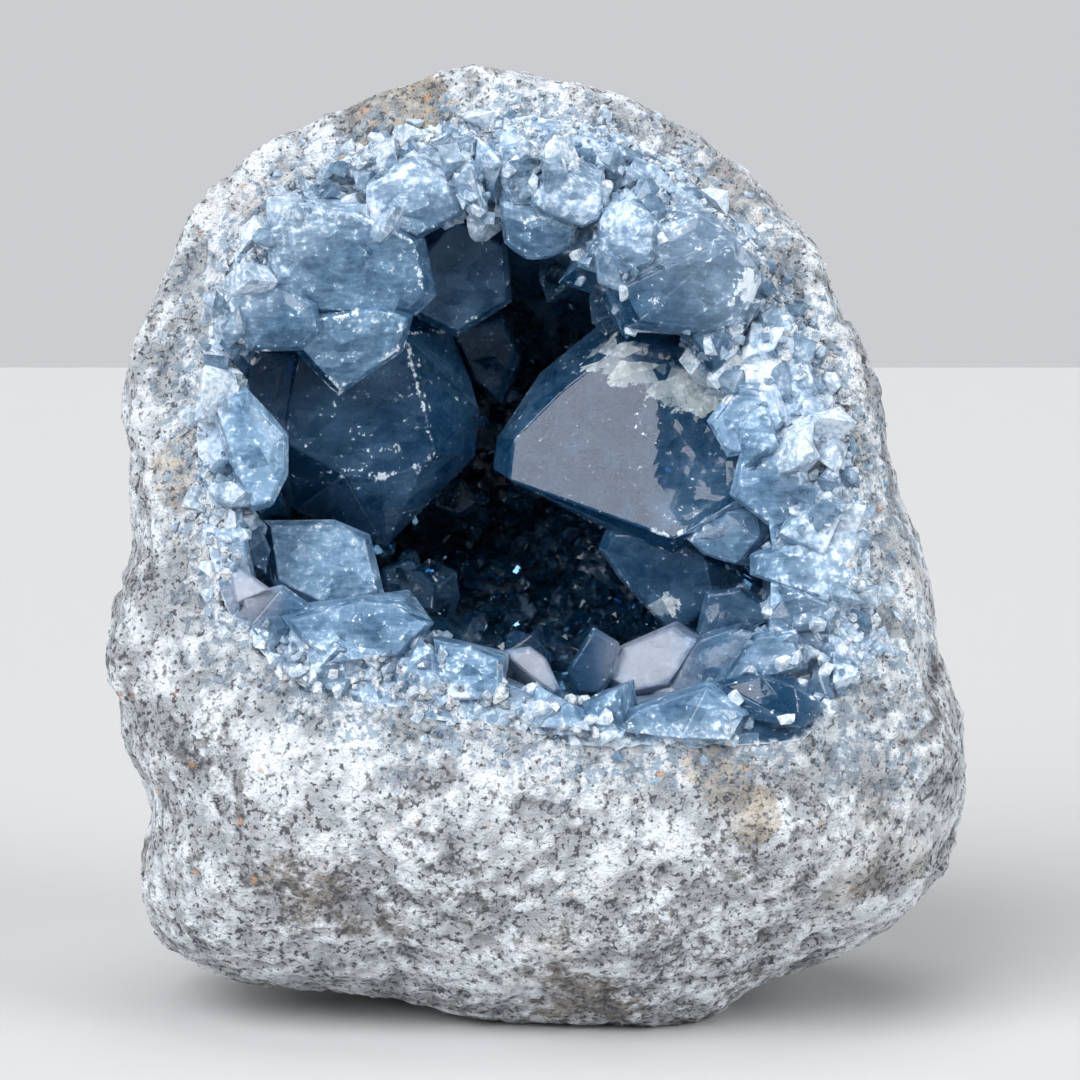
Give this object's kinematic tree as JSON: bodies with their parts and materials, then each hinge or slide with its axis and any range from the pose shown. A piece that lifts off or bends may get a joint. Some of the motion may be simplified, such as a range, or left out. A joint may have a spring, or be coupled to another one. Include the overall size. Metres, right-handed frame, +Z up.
{
  "type": "crystal geode",
  "caption": "Standing stone nodule broken open at the front, with a deep hollow lined by a crust of flat-faced pale to deep blue crystals and a rough granular rind.",
  "frame": {"origin": "middle of the geode's box seen from above, on the surface that it stands on", "axes": "+X to the right as the opening is seen from the front, +Y into the stone, so the opening faces -Y, and +Z up"},
  "size_m": [0.1986, 0.1452, 0.219],
  "materials": {
    "rind": "rough and granular, white to grey with tan and brown stains",
    "celestite": "clear to milky blue crystal with smooth flat faces and frosted broken edges"
  },
  "bodies": {
    "root": {"rock_shell": "rind", "crystal_crust": "celestite"}
  },
  "joints": []
}
